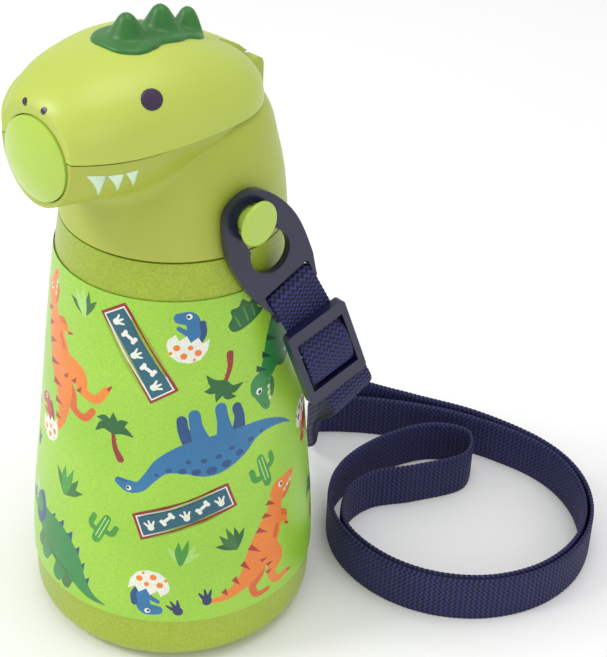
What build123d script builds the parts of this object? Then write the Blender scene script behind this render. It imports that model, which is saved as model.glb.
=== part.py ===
from build123d import *
from math import cos, radians, sin
import os

os.makedirs("parts", exist_ok=True)

# Kids' drinks bottle with a hinged dinosaur-head lid and a webbing shoulder strap.
# All sizes in mm. +Z is up from the table, the face looks along -Y, its left side is +X.

# ---- bottle body -------------------------------------------------------------------------
wall_t = 0.8
base_flat_r = 33.9
base_corner_r = 7.6
belly_r = 41.5
wall_points = [(belly_r, base_corner_r), (41.7, 17), (39.2, 53), (32.5, 120), (31.1, 130.4)]
shoulder_z = 130.4
base_disc_r = 30.0
neck_r = 24.9
neck_top_z = 147.5
lip_top_z = 148.3
vessel_neck_r = 23.7
vessel_points = [(27.2, 125.5), (28.7, 118), (35.2, 53), (37.4, 20), (37.3, 12)]
print_low_z = 17.0
print_high_z = 120.0
print_gap = 0.02
print_t = 0.15

# ---- screw thread ------------------------------------------------------------------------
thread_lead = 6.0
thread_run = 9.0
neck_thread_z = 134.0
cap_thread_z = neck_thread_z + thread_lead / 2
thread_sink = 0.3
thread_root_half = 1.1
thread_crest_half = 0.5
neck_thread_h = 1.1
cap_thread_h = 1.0

# ---- cap: jaw, inner cap, gasket, spout ---------------------------------------------------
cap_low_z = 131.0
cap_bore_r = 27.2
inner_cap_wall = 0.9
gasket_t = 1.5
gasket_in_r = 22.0
inner_cap_top_t = 1.4
deck_t = 2.0
pocket_r = 21.5
jaw_top_z = 164.3
jaw_points = [(31.1, cap_low_z), (30.4, 139), (29.4, 146), (27.8, 153), (25.9, 160)]
jaw_rim_r = 23.9
# distance along Y, half width and depth of the lower jaw below the mouth line
jaw_sections = [(-46.8, 12.9, 15.8), (-44, 15.4, 15.9), (-40, 18.2, 16.0), (-33, 21.4, 16.3),
                (-24, 23.2, 17.0), (-12, 24.0, 17.6), (0, 23.4, 17.6)]
throat_r = 5.0
snout_pocket_w = 19.0
snout_pocket_y = -42.0
spout_r = 5.0
spout_bore_r = 3.2
spout_top_z = 168.0
spout_flange_r = 9.0

# ---- lid: hood, liner, gasket, spikes ------------------------------------------------------
hood_low_z = 164.7
hood_wall = 1.8
# distance along Y, half width and height of the hood above the mouth line
hood_sections = [(-46.8, 12.8, 11.2), (-44, 15.6, 13.9), (-40, 18.4, 16.0), (-33, 21.7, 18.2),
                 (-24, 23.7, 19.6), (-15, 24.8, 20.0), (-7, 25.1, 19.1), (0, 24.9, 17.5),
                 (7, 23.5, 14.8), (13, 20.2, 12.0), (18, 15.3, 8.4), (22.4, 8.6, 3.4)]
# 1 gives an ellipse across the head, smaller is squarer
hood_power = 0.84
cavity_sections = [(-42, 17.0, 14.6), *hood_sections[3:10], (18.0, 14.8, 8.0)]
liner_t = 1.6
liner_low_z = 166.0
plug_r = 6.8
plug_top_z = 172.0
# spike positions along Y, tip height, size
spikes = [(-16.2, 191.4, 1.0), (-4.6, 190.4, 1.0), (5.3, 187.0, 0.86)]
# radius and distance below the tip of a full-size spike
spike_points = [(2.0, 1.1), (3.6, 3.8), (5.2, 6.6), (7.0, 9.4), (8.4, 12.5)]
crest_t = 1.1
crest_gap = 0.03

# ---- hinge ---------------------------------------------------------------------------------
hinge_y = 23.0
hinge_z = 167.4
knuckle_r = 2.6
knuckle_gap = 0.3
lug_in_x = 4.1
lug_out_x = 8.2
pin_r = 1.2
pin_clear = 0.05
pin_end_x = 7.4
lid_knuckle_x = (-3.9, 0.4)
hinge_spring_x = 0.9
hinge_spring_r = 1.9
hinge_spring_wire = 0.3

# ---- snout button --------------------------------------------------------------------------
button_z = 161.7
button_r = 11.3
button_hole_r = 11.6
button_back_y = -44.6
button_rim_y = -47.4
button_nose_y = -50.4
pocket_depth = 1.6
stem_r = 4.0
stem_end_y = -36.6
spring_seat_y = -31.0
button_spring_r = 2.6
button_spring_wire = 0.3

# ---- strap fittings ------------------------------------------------------------------------
stud_y = -4.5
stud_z = 141.5
stud_up_hook = 2.5
stud_in_x = 28.2
stud_neck_r = 4.0
stud_head_r = 6.2
stud_head_x = 35.9
stud_face_x = 37.3
hook_origin = Vector(34.3, -3.4, 139.25)
hook_normal = Vector(0.9759, -0.1952, 0.0976)
hook_down = Vector(0.1736, 0.4235, -0.8891)
hook_t = 2.4
hook_slot_top = 19.9
hook_slot_low = 23.6
hook_end = 26.8
web_w = 15.0
web_t = 1.2
web_front = 0.7
web_back = -3.1
web_tail = 31.0
web_join = 33.0
adjuster_mid = 46.4
adjuster_side = -1.6
adjuster_turn = -8.0
adjuster_w = 20.0
adjuster_l = 25.0
adjuster_low = 1.4
adjuster_high = 4.2
window_w = 16.0
window_l = 17.0
centre_bar_w = 3.0

# ---- strap coil on the table ---------------------------------------------------------------
strap_mid_z = 7.65
coil_x = 50.0
coil_y = 79.0
coil_r = 42.3
coil_gap = 2.1


def hood_section(y, half_width, height, low_z):
    """Squarish half ellipse standing on the mouth line, across the head at one place along Y."""
    left_side = []
    for step in range(1, 4):
        angle = radians(22.5 * step)
        left_side.append((half_width * cos(angle) ** hood_power, low_z + height * sin(angle) ** hood_power))
    right_side = [(-x, z) for x, z in reversed(left_side)]
    with BuildSketch(Plane.XZ.offset(-y)) as section:
        with BuildLine():
            Spline((half_width, low_z), *left_side, (0, low_z + height), *right_side,
                   (-half_width, low_z), tangents=[(0, 1), (0, -1)])
            Line((-half_width, low_z), (half_width, low_z))
        make_face()
    return section.sketch


def jaw_section(y, half_width, depth):
    """Half ellipse hanging from the mouth line, across the jaw at one place along Y."""
    with BuildSketch(Plane.XZ.offset(-y)) as section:
        with BuildLine():
            EllipticalCenterArc((0, jaw_top_z), half_width, depth, 180, arc_size=180)
            Line((-half_width, jaw_top_z), (half_width, jaw_top_z))
        make_face()
    return section.sketch


def thread_profile(start, along, root, crest):
    """Trapezoid thread form at the start of a helix, root and crest measured radially."""
    with BuildSketch(Plane(origin=start, x_dir=(1, 0, 0), z_dir=along)) as profile:
        with BuildLine():
            Polyline((root, -thread_root_half), (crest, -thread_crest_half),
                     (crest, thread_crest_half), (root, thread_root_half),
                     (root, -thread_root_half))
        make_face()
    return profile.sketch


# ============================ bottle ============================
with BuildPart() as outer_shell:
    with BuildSketch(Plane.XZ):
        with BuildLine():
            Line((base_disc_r, 0), (base_flat_r, 0))
            TangentArc((base_flat_r, 0), (belly_r, base_corner_r), tangent=(1, 0))
            Spline(*wall_points, tangents=[(0, 1), (-0.13, 1)])
            Line(wall_points[-1], (neck_r, shoulder_z))
            Line((neck_r, shoulder_z), (neck_r, neck_top_z))
            Line((neck_r, neck_top_z), (neck_r - wall_t, neck_top_z))
            Line((neck_r - wall_t, neck_top_z), (neck_r - wall_t, shoulder_z - wall_t))
            Line((neck_r - wall_t, shoulder_z - wall_t), (31.1 - wall_t, shoulder_z - wall_t))
            Line((31.1 - wall_t, shoulder_z - wall_t), (31.1 - wall_t, shoulder_z - 1.2))
            Spline((31.1 - wall_t, shoulder_z - 1.2), (32.5 - wall_t, 119), (39.2 - wall_t, 53),
                   (41.7 - wall_t, 17), (belly_r - wall_t, base_corner_r + 0.4),
                   tangents=[(0.13, -1), (0, -1)])
            TangentArc((belly_r - wall_t, base_corner_r + 0.4), (base_flat_r, wall_t), tangent=(0, -1))
            Line((base_flat_r, wall_t), (base_disc_r, wall_t))
            Line((base_disc_r, wall_t), (base_disc_r, 0))
        make_face()
    revolve(axis=Axis.Z)
    with BuildLine() as neck_helix:
        Helix(thread_lead, thread_run, neck_r, center=(0, 0, neck_thread_z))
    neck_profile = thread_profile(neck_helix.line @ 0, neck_helix.line % 0, -thread_sink, neck_thread_h)
    sweep(neck_profile, path=neck_helix.line, is_frenet=True)
outer_shell.part.label = "outer_shell"
export_step(outer_shell.part, "parts/outer_shell.step")

with BuildPart() as base_disc:
    Cylinder(base_disc_r - 0.02, wall_t, align=(Align.CENTER, Align.CENTER, Align.MIN))
    fillet(base_disc.edges().group_by(Axis.Z)[0], 0.2)
base_disc.part.label = "base_disc"
export_step(base_disc.part, "parts/base_disc.step")

with BuildPart() as inner_vessel:
    with BuildSketch(Plane.XZ):
        with BuildLine():
            Line((vessel_neck_r - wall_t, lip_top_z), (neck_r, lip_top_z))
            Line((neck_r, lip_top_z), (neck_r, neck_top_z))
            Line((neck_r, neck_top_z), (vessel_neck_r, neck_top_z))
            Line((vessel_neck_r, neck_top_z), (vessel_neck_r, 128.5))
            Line((vessel_neck_r, 128.5), vessel_points[0])
            Spline(*vessel_points, tangents=[(0.4, -1), (-0.02, -1)])
            TangentArc(vessel_points[-1], (31.0, 5.6), tangent=(-0.02, -1))
            Line((31.0, 5.6), (0, 5.6))
            Line((0, 5.6), (0, 5.6 + wall_t))
            Line((0, 5.6 + wall_t), (31.0, 5.6 + wall_t))
            TangentArc((31.0, 5.6 + wall_t), (37.3 - wall_t, 12), tangent=(1, 0))
            Spline(*[(r - wall_t, z) for r, z in reversed(vessel_points)],
                   tangents=[(0.02, 1), (-0.4, 1)])
            Line((vessel_points[0][0] - wall_t, vessel_points[0][1]), (vessel_neck_r - wall_t, 128.2))
            Line((vessel_neck_r - wall_t, 128.2), (vessel_neck_r - wall_t, lip_top_z))
        make_face()
    revolve(axis=Axis.Z)
inner_vessel.part.label = "inner_vessel"
export_step(inner_vessel.part, "parts/inner_vessel.step")

with BuildPart() as print_wrap:
    with BuildSketch(Plane.XZ):
        with BuildLine():
            Spline(*[(r + print_gap, z) for r, z in wall_points], tangents=[(0, 1), (-0.13, 1)])
            Spline(*[(r + print_gap + print_t, z) for r, z in wall_points], tangents=[(0, 1), (-0.13, 1)])
            Line((belly_r + print_gap, base_corner_r), (belly_r + print_gap + print_t, base_corner_r))
            Line((31.1 + print_gap, shoulder_z), (31.1 + print_gap + print_t, shoulder_z))
        make_face()
        with Locations((30, (print_low_z + print_high_z) / 2)):
            Rectangle(60, print_high_z - print_low_z, mode=Mode.INTERSECT)
    revolve(axis=Axis.Z)
print_wrap.part.label = "print_wrap"
export_step(print_wrap.part, "parts/print_wrap.step")

# ============================ cap ============================
inner_cap_low_z = cap_low_z + 0.6
gasket_top_z = lip_top_z + gasket_t
deck_z = gasket_top_z + inner_cap_top_t
pocket_z = deck_z + deck_t

with BuildPart() as cap_gasket:
    with BuildSketch(Plane.XY.offset(lip_top_z)):
        Circle(cap_bore_r - inner_cap_wall - 0.4)
        Circle(gasket_in_r, mode=Mode.SUBTRACT)
    extrude(amount=gasket_t)
cap_gasket.part.label = "cap_gasket"
export_step(cap_gasket.part, "parts/cap_gasket.step")

with BuildPart() as inner_cap:
    with BuildSketch(Plane.XY.offset(inner_cap_low_z)):
        Circle(cap_bore_r - 0.02)
    extrude(amount=deck_z - inner_cap_low_z)
    with BuildSketch(Plane.XY.offset(inner_cap_low_z)):
        Circle(cap_bore_r - inner_cap_wall)
    extrude(amount=gasket_top_z - inner_cap_low_z, mode=Mode.SUBTRACT)
    with BuildSketch(Plane.XY.offset(gasket_top_z)):
        Circle(spout_r + 0.05)
    extrude(amount=inner_cap_top_t, mode=Mode.SUBTRACT)
    with BuildLine() as cap_helix:
        Helix(thread_lead, thread_run, cap_bore_r - inner_cap_wall, center=(0, 0, cap_thread_z))
    cap_profile = thread_profile(cap_helix.line @ 0, cap_helix.line % 0, thread_sink, -cap_thread_h)
    sweep(cap_profile, path=cap_helix.line, is_frenet=True)
inner_cap.part.label = "inner_cap"
export_step(inner_cap.part, "parts/inner_cap.step")

with BuildPart() as jaw_shell:
    # lower jaw
    loft([jaw_section(y, half_width, depth) for y, half_width, depth in jaw_sections])
    # round neck of the cap, rising into the jaw
    with BuildSketch(Plane.XZ):
        with BuildLine():
            Spline(*jaw_points, (jaw_rim_r + 0.6, jaw_top_z - 1.6), tangents=[(-0.05, 1), (-0.6, 1)])
            Line((jaw_rim_r + 0.6, jaw_top_z - 1.6), (jaw_rim_r - 0.6, jaw_top_z))
            Line((jaw_rim_r - 0.6, jaw_top_z), (0, jaw_top_z))
            Line((0, jaw_top_z), (0, cap_low_z))
            Line((0, cap_low_z), jaw_points[0])
        make_face()
    revolve(axis=Axis.Z)
    # soft run-in of the chin into the neck
    fillet(jaw_shell.edges().sort_by_distance((0, -29, 147.7))[0], throat_r)
    # bore for the inner cap
    with BuildSketch(Plane.XY.offset(cap_low_z)):
        Circle(cap_bore_r)
    extrude(amount=deck_z - cap_low_z, mode=Mode.SUBTRACT)
    # open pocket round the spout and behind the button
    with BuildSketch(Plane.XY.offset(pocket_z)):
        Circle(pocket_r)
        with Locations((0, snout_pocket_y / 2)):
            Rectangle(snout_pocket_w, -snout_pocket_y)
    extrude(amount=20, mode=Mode.SUBTRACT)
    with BuildSketch(Plane.XY.offset(deck_z)):
        Circle(spout_r + 0.05)
    extrude(amount=deck_t, mode=Mode.SUBTRACT)
    # hole for the button and its stem
    with BuildSketch(Plane.XZ.offset(-button_back_y - pocket_depth)):
        with Locations((0, button_z)):
            Circle(button_hole_r)
    extrude(amount=20, mode=Mode.SUBTRACT)
    with BuildSketch(Plane.XZ.offset(40)):
        with Locations((0, button_z)):
            Circle(stem_r + 0.2)
    extrude(amount=10, mode=Mode.SUBTRACT)
    # wall the button spring pushes against
    with BuildSketch(Plane.XY.offset(pocket_z)):
        with Locations((0, spring_seat_y + 0.8)):
            Rectangle(10, 1.6)
    extrude(amount=button_z + 3 - pocket_z)
    # hinge lugs
    with BuildSketch(Plane.YZ.offset(-lug_out_x)):
        with Locations((hinge_y, hinge_z)):
            Circle(knuckle_r)
        with Locations((hinge_y + 0.75, hinge_z - 4.5)):
            Rectangle(3.7, 9)
    extrude(amount=2 * lug_out_x)
    with BuildSketch(Plane.YZ.offset(-lug_in_x)):
        with Locations((hinge_y, hinge_z)):
            Rectangle(12, 2 * (hinge_z - jaw_top_z))
    extrude(amount=2 * lug_in_x, mode=Mode.SUBTRACT)
    with BuildSketch(Plane.YZ.offset(-lug_out_x)):
        with Locations((hinge_y, hinge_z)):
            Circle(pin_r + 0.02)
    extrude(amount=pin_end_x + lug_out_x, mode=Mode.SUBTRACT)
    # sockets for the strap studs
    with BuildSketch(Plane.YZ.offset(-40)):
        with Locations((stud_y, stud_z)):
            Circle(stud_neck_r + 0.02)
    extrude(amount=80, mode=Mode.SUBTRACT)
jaw_shell.part.label = "jaw_shell"
export_step(jaw_shell.part, "parts/jaw_shell.step")

with BuildPart() as spout:
    with BuildSketch(Plane.XZ):
        with BuildLine():
            Polyline((spout_bore_r, gasket_top_z), (spout_r, gasket_top_z), (spout_r, pocket_z),
                     (spout_flange_r, pocket_z), (spout_flange_r, pocket_z + 1.2),
                     (spout_r + 0.8, pocket_z + 1.2), (spout_r, pocket_z + 6),
                     (spout_r, spout_top_z - 0.8), (spout_r - 0.6, spout_top_z),
                     (spout_bore_r, spout_top_z), (spout_bore_r, gasket_top_z))
        make_face()
    revolve(axis=Axis.Z)
spout.part.label = "spout"
export_step(spout.part, "parts/spout.step")

with BuildPart() as strap_stud_left:
    with BuildSketch(Plane.YZ.offset(stud_in_x)):
        with Locations((stud_y, stud_z)):
            Circle(stud_neck_r)
    extrude(amount=stud_head_x - stud_in_x)
    with BuildSketch(Plane.YZ.offset(stud_head_x)):
        with Locations((stud_y, stud_z)):
            Circle(stud_head_r)
    extrude(amount=stud_face_x - stud_head_x)
    fillet(strap_stud_left.edges().group_by(Axis.X)[-1], 1.1)
strap_stud_left.part.label = "strap_stud_left"
export_step(strap_stud_left.part, "parts/strap_stud_left.step")

with BuildPart() as strap_stud_right:
    mirror(strap_stud_left.part, about=Plane.YZ)
strap_stud_right.part.label = "strap_stud_right"
export_step(strap_stud_right.part, "parts/strap_stud_right.step")

with BuildPart() as hinge_pin:
    with BuildSketch(Plane.YZ.offset(-lug_out_x)):
        with Locations((hinge_y, hinge_z)):
            Circle(pin_r)
    extrude(amount=pin_end_x + lug_out_x)
hinge_pin.part.label = "hinge_pin"
export_step(hinge_pin.part, "parts/hinge_pin.step")

with BuildPart() as lid_spring:
    with BuildLine() as coil:
        Helix(0.7, 2.45, hinge_spring_r, center=(hinge_spring_x, hinge_y, hinge_z), direction=(1, 0, 0))
    with BuildSketch(Plane(origin=coil.line @ 0, z_dir=coil.line % 0)):
        Circle(hinge_spring_wire)
    sweep(path=coil.line, is_frenet=True)
lid_spring.part.label = "lid_spring"
export_step(lid_spring.part, "parts/lid_spring.step")

# ============================ button ============================
with BuildPart() as snout_button:
    with BuildSketch(Plane.XY.offset(button_z)):
        with BuildLine():
            Line((0, button_back_y), (button_r, button_back_y))
            Line((button_r, button_back_y), (button_r, button_rim_y))
            TangentArc((0, button_nose_y), (button_r, button_rim_y), tangent=(1, 0))
            Line((0, button_nose_y), (0, button_back_y))
        make_face()
    revolve(axis=Axis((0, 0, button_z), (0, 1, 0)))
    with BuildSketch(Plane.XZ.offset(-stem_end_y)):
        with Locations((0, button_z)):
            Circle(stem_r)
    extrude(amount=stem_end_y - button_back_y)
    # catch that reaches forward over the lid's nib
    with BuildSketch(Plane.YZ.offset(-3)):
        with BuildLine():
            Polyline((-38.4, button_z), (-38.4, 167.4), (-39.9, 167.4), (-39.9, 168.6),
                     (-37.0, 168.6), (-37.0, button_z), (-38.4, button_z))
        make_face()
    extrude(amount=6)
snout_button.part.label = "snout_button"
export_step(snout_button.part, "parts/snout_button.step")

with BuildPart() as button_spring:
    with BuildLine() as coil:
        Helix(1.2, 4.8, button_spring_r, center=(0, stem_end_y + 0.4, button_z), direction=(0, 1, 0))
    with BuildSketch(Plane(origin=coil.line @ 0, z_dir=coil.line % 0)):
        Circle(button_spring_wire)
    sweep(path=coil.line, is_frenet=True)
button_spring.part.label = "button_spring"
export_step(button_spring.part, "parts/button_spring.step")

# ============================ lid ============================
with BuildPart() as hood:
    loft([hood_section(y, half_width, height, hood_low_z) for y, half_width, height in hood_sections])
    # bracket over the hinge
    with BuildSketch(Plane.YZ.offset(-lug_in_x + 0.2)) as bracket:
        with BuildLine():
            Polyline((10.5, 173), (12.8, 177.3), (20.2, 173.2), (hinge_y + 1.6, hinge_z + 2.05),
                     (hinge_y, hinge_z), (18, 166), (10.5, 173))
        make_face()
        fillet(bracket.vertices().group_by(Axis.Y)[-2:], 1.5)
    extrude(amount=2 * lug_in_x - 0.4)
    # space for the lugs, the spring and the button
    with BuildSketch(Plane.YZ.offset(-lug_out_x - 0.3)):
        with Locations((hinge_y, hinge_z)):
            Circle(knuckle_r + knuckle_gap)
    extrude(amount=2 * lug_out_x + 0.6, mode=Mode.SUBTRACT)
    with BuildSketch(Plane.XZ.offset(-button_back_y - pocket_depth)):
        with Locations((0, button_z)):
            Circle(button_hole_r)
    extrude(amount=20, mode=Mode.SUBTRACT)
    with BuildSketch(Plane.XZ.offset(40)):
        with Locations((0, button_z)):
            Circle(stem_r + 0.2)
    extrude(amount=10, mode=Mode.SUBTRACT)

with BuildPart() as hood_cavity:
    loft([hood_section(y, half_width - hood_wall, height - hood_wall + 1, hood_low_z - 1)
          for y, half_width, height in cavity_sections])

with BuildPart() as lid_shell:
    add(hood.part)
    add(hood_cavity.part, mode=Mode.SUBTRACT)
    # knuckle on the pin
    with BuildSketch(Plane.YZ.offset(lid_knuckle_x[0])):
        with Locations((hinge_y, hinge_z)):
            Circle(knuckle_r)
        with BuildLine():
            Polyline((18.8, 167.0), (19.2, 172.5), (hinge_y + 1.2, hinge_z + 2.2),
                     (hinge_y, hinge_z - 1.5), (18.8, 167.0))
        make_face()
    extrude(amount=lid_knuckle_x[1] - lid_knuckle_x[0])
    with BuildSketch(Plane.YZ.offset(-20)):
        with Locations((hinge_y, hinge_z)):
            Circle(pin_r + pin_clear)
    extrude(amount=40, mode=Mode.SUBTRACT)
lid_shell.part.label = "lid_shell"
export_step(lid_shell.part, "parts/lid_shell.step")

with BuildPart() as lid_liner:
    with BuildSketch(Plane.XY.offset(liner_low_z)):
        with BuildLine():
            Line((0, -41.5), (8, -41.5))
            Spline((8, -41.5), (16.6, -34), (20.4, -24), (21.8, -10), (20.6, 3), (15.8, 12), (9.2, 16.6))
            Line((9.2, 16.6), (0, 16.6))
            Line((0, 16.6), (0, -41.5))
        make_face()
        mirror(about=Plane.YZ)
        # clear of the button's catch
        with Locations((0, -37.4)):
            Rectangle(2 * stem_r + 2, 5.4, mode=Mode.SUBTRACT)
    extrude(amount=liner_t)
    # cup that holds the sealing plug over the spout
    with BuildSketch(Plane.XY.offset(liner_low_z)):
        Circle(plug_r + 1.6)
    extrude(amount=plug_top_z + 1.2 - liner_low_z)
    with BuildSketch(Plane.XY.offset(liner_low_z)):
        Circle(plug_r + 0.02)
    extrude(amount=plug_top_z - liner_low_z, mode=Mode.SUBTRACT)
    # nib for the button's catch
    with BuildSketch(Plane.XY.offset(liner_low_z)):
        with Locations((0, -40.7)):
            Rectangle(5, 0.9)
    extrude(amount=liner_t + 1.6)
lid_liner.part.label = "lid_liner"
export_step(lid_liner.part, "parts/lid_liner.step")

with BuildPart() as lid_plug:
    with BuildSketch(Plane.XY.offset(spout_top_z)):
        Circle(plug_r)
    extrude(amount=plug_top_z - spout_top_z)
    fillet(lid_plug.edges().group_by(Axis.Z)[0], 0.6)
lid_plug.part.label = "lid_plug"
export_step(lid_plug.part, "parts/lid_plug.step")

with BuildPart() as hood_skin:
    loft([hood_section(y, half_width + crest_t, height + crest_t, hood_low_z)
          for y, half_width, height in hood_sections])
    with BuildSketch(Plane.XY.offset(hood_low_z)):
        with BuildLine():
            Spline((0, -26.0), (6.4, -24.4), (10.0, -19.4), (9.8, -13.4), (9.0, -9.8), (9.4, -4.6),
                   (8.2, -0.2), (6.9, 3.6), (4.2, 6.6), (0, 7.9), (-4.2, 6.6), (-6.9, 3.6),
                   (-8.2, -0.2), (-9.4, -4.6), (-9.0, -9.8), (-9.8, -13.4), (-10.0, -19.4),
                   (-6.4, -24.4), periodic=True)
        make_face()
    extrude(amount=40, mode=Mode.INTERSECT)

with BuildPart() as hood_core:
    loft([hood_section(y, half_width + crest_gap, height + crest_gap, hood_low_z)
          for y, half_width, height in hood_sections])

with BuildPart() as spike_crest:
    add(hood_skin.part)
    for y, tip_z, size in spikes:
        outline = [(radius * size, tip_z - drop * size) for radius, drop in spike_points]
        with BuildSketch(Plane.XZ.offset(-y)):
            with BuildLine():
                Spline((0, tip_z), *outline, tangents=[(1, 0), (0.5, -1)])
                Line(outline[-1], (0, outline[-1][1]))
                Line((0, outline[-1][1]), (0, tip_z))
            make_face()
        revolve(axis=Axis((0, y, 0), (0, 0, 1)))
    add(hood_core.part, mode=Mode.SUBTRACT)
spike_crest.part.label = "spike_crest"
export_step(spike_crest.part, "parts/spike_crest.step")

# ============================ strap ============================
hook_plane = Plane(origin=hook_origin, x_dir=hook_down, z_dir=hook_normal)

with BuildPart() as strap_hook_left:
    with BuildSketch(hook_plane):
        with BuildLine():
            Spline((-10.6, 0), (-6.5, 7.4), (1, 10.6), (11, 11.4), (19, 10.4), (25, 8.6),
                   tangents=[(0, 1), (1, -0.3)])
            RadiusArc((25, 8.6), (hook_end, 7.0), 1.8)
            Line((hook_end, 7.0), (hook_end, -7.0))
            RadiusArc((hook_end, -7.0), (25, -8.6), 1.8)
            Spline((25, -8.6), (19, -10.4), (11, -11.4), (1, -10.6), (-6.5, -7.4), (-10.6, 0),
                   tangents=[(-1, -0.3), (0, 1)])
        make_face()
        with Locations((-stud_up_hook, 0)):
            Circle(stud_neck_r + 0.8, mode=Mode.SUBTRACT)
        with Locations((4.5 - stud_up_hook / 2, 0)):
            Rectangle(9 + stud_up_hook, 2 * stud_neck_r + 1.6, mode=Mode.SUBTRACT)
        with Locations((9.2, 0)):
            Circle(stud_head_r + 0.1, mode=Mode.SUBTRACT)
        with Locations(((hook_slot_top + hook_slot_low) / 2, 0)):
            RectangleRounded(hook_slot_low - hook_slot_top, web_w + 0.8, 0.6, mode=Mode.SUBTRACT)
    extrude(amount=-hook_t)
strap_hook_left.part.label = "strap_hook_left"
export_step(strap_hook_left.part, "parts/strap_hook_left.step")

with BuildPart() as strap_hook_right:
    mirror(strap_hook_left.part, about=Plane.YZ)
strap_hook_right.part.label = "strap_hook_right"
export_step(strap_hook_right.part, "parts/strap_hook_right.step")

adjuster_turned = Location((adjuster_mid, adjuster_side, 0), (0, 0, adjuster_turn))
adjuster_plane = Plane(hook_plane.location * adjuster_turned)

with BuildPart() as strap_adjuster:
    with BuildSketch(adjuster_plane.offset(adjuster_low)):
        RectangleRounded(adjuster_l, adjuster_w, 1.6)
        Rectangle(window_l, window_w, mode=Mode.SUBTRACT)
    extrude(amount=adjuster_high - adjuster_low)
    with BuildSketch(adjuster_plane.offset(adjuster_low)):
        Rectangle(centre_bar_w, window_w + 1)
    extrude(amount=1.4)
strap_adjuster.part.label = "strap_adjuster"
export_step(strap_adjuster.part, "parts/strap_adjuster.step")

wrap_z = adjuster_low + 0.1 + web_t / 2
wrap_top = adjuster_low + 1.5 + web_t / 2
side_plane = Plane(origin=adjuster_plane.origin, x_dir=adjuster_plane.x_dir, z_dir=-adjuster_plane.y_dir)

with BuildPart() as adjuster_wrap:
    with BuildSketch(side_plane.offset(-web_w / 2)):
        with BuildLine():
            Spline((-8.0, wrap_z), (-4.0, wrap_top - 0.4), (0, wrap_top + 0.6), (4.0, wrap_top - 0.4),
                   (8.0, wrap_z), tangents=[(1, 0.2), (1, -0.2)])
        trace(line_width=web_t)
    extrude(amount=web_w)
adjuster_wrap.part.label = "adjuster_wrap"
export_step(adjuster_wrap.part, "parts/adjuster_wrap.step")

# webbing: down from the right hook, one turn of the coil, back inside it, up to the left hook
hook_side = hook_normal.cross(hook_down)


def on_left_hook(down, off):
    """Point on the middle of the webbing near the left hook."""
    return hook_origin + hook_down * down + hook_normal * off


def mirror_x(point):
    """The same point on the bottle's other side."""
    return Vector(-point.X, point.Y, point.Z)


def on_coil(angle, radius):
    """Point on the webbing's middle line where it lies on the table."""
    return Vector(coil_x + radius * cos(radians(angle)), coil_y + radius * sin(radians(angle)), strap_mid_z)


coil_angles = [85, 60, 35, 10, -15, -40, -65, -90, -115]
strap_points = [
    mirror_x(on_left_hook(web_join, web_front)),
    Vector(-43, 22, 84),
    Vector(-38, 55, 50),
    Vector(-27, 82, 25),
    Vector(-13, 97, 12.5),
    Vector(4, 109.5, strap_mid_z + 0.4),
    Vector(27, 118.5, strap_mid_z),
    *[on_coil(angle, coil_r) for angle in coil_angles],
    Vector(19.5, 50.5, strap_mid_z),
    Vector(12.8, 64, strap_mid_z),
    Vector(12.5, 83, strap_mid_z),
    Vector(20, 102, strap_mid_z),
    Vector(31, 107.5, strap_mid_z),
    Vector(38, 98, strap_mid_z),
    Vector(31, 80.5, strap_mid_z),
    Vector(23, 67, strap_mid_z),
    Vector(23.5, 54.5, strap_mid_z),
    *[on_coil(angle, coil_r - coil_gap) for angle in reversed(coil_angles)],
    Vector(28, 115.2, strap_mid_z),
    Vector(8, 106.2, strap_mid_z),
    Vector(-9, 94.5, strap_mid_z),
    Vector(-17.5, 84.5, strap_mid_z + 0.4),
    Vector(-13.5, 77.0, strap_mid_z + 2.4),
    Vector(0, 66, 25),
    Vector(22, 45, 53),
    on_left_hook(68, web_front - 0.6),
    on_left_hook(61, web_front),
    on_left_hook(54, web_front),
    on_left_hook(47, web_front),
    on_left_hook(40, web_front),
    on_left_hook(web_join, web_front),
]

with BuildLine() as strap_run:
    Spline(*strap_points, tangents=[mirror_x(hook_down), -hook_down])

strap_stations = 150
web_sections = []
for i in range(strap_stations + 1):
    t = i / strap_stations
    point = strap_run.line @ t
    along = strap_run.line % t
    lift = min(1, max(0, (point.Z - 9) / 60))
    hook_across = hook_side if point.X > 0 else mirror_x(hook_side)
    across = hook_across * lift + Vector(0, 0, 1) * (1 - lift)
    across = (across - along * across.dot(along)).normalized()
    with BuildSketch(Plane(origin=point, x_dir=across, z_dir=along)) as web_section:
        Rectangle(web_w, web_t)
    web_sections.append(web_section.sketch)

bar_x = hook_slot_low + 0.3
loop_r = (web_front - web_back) / 2
loop_mid = (web_front + web_back) / 2
loop_plane = Plane(origin=hook_origin - hook_side * web_w / 2, x_dir=hook_down, z_dir=hook_side)

with BuildPart() as hook_loop:
    with BuildSketch(loop_plane):
        with Locations((bar_x, -loop_mid)):
            Circle(loop_r + web_t / 2)
            Circle(loop_r - web_t / 2, mode=Mode.SUBTRACT)
        with Locations((bar_x + 5, -loop_mid)):
            Rectangle(10, 2 * loop_r + web_t, mode=Mode.SUBTRACT)
        with Locations(((bar_x + web_join + 0.3) / 2, -web_front)):
            Rectangle(web_join + 0.3 - bar_x, web_t)
        with Locations(((bar_x + web_tail) / 2, -web_back)):
            Rectangle(web_tail - bar_x, web_t)
    extrude(amount=web_w)

with BuildPart() as strap_webbing:
    loft(web_sections, ruled=True)
    add(hook_loop.part)
    mirror(hook_loop.part, about=Plane.YZ)
strap_webbing.part.label = "strap_webbing"
export_step(strap_webbing.part, "parts/strap_webbing.step")
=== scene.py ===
"""Looks for the kids' drinks bottle with the dinosaur-head lid: materials, the printed film, the webbing,
the soft crest and the printed face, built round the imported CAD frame. Metres, +Z up, the face looks along -Y."""

from math import atan2, cos, pi, radians, sin, sqrt

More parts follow.
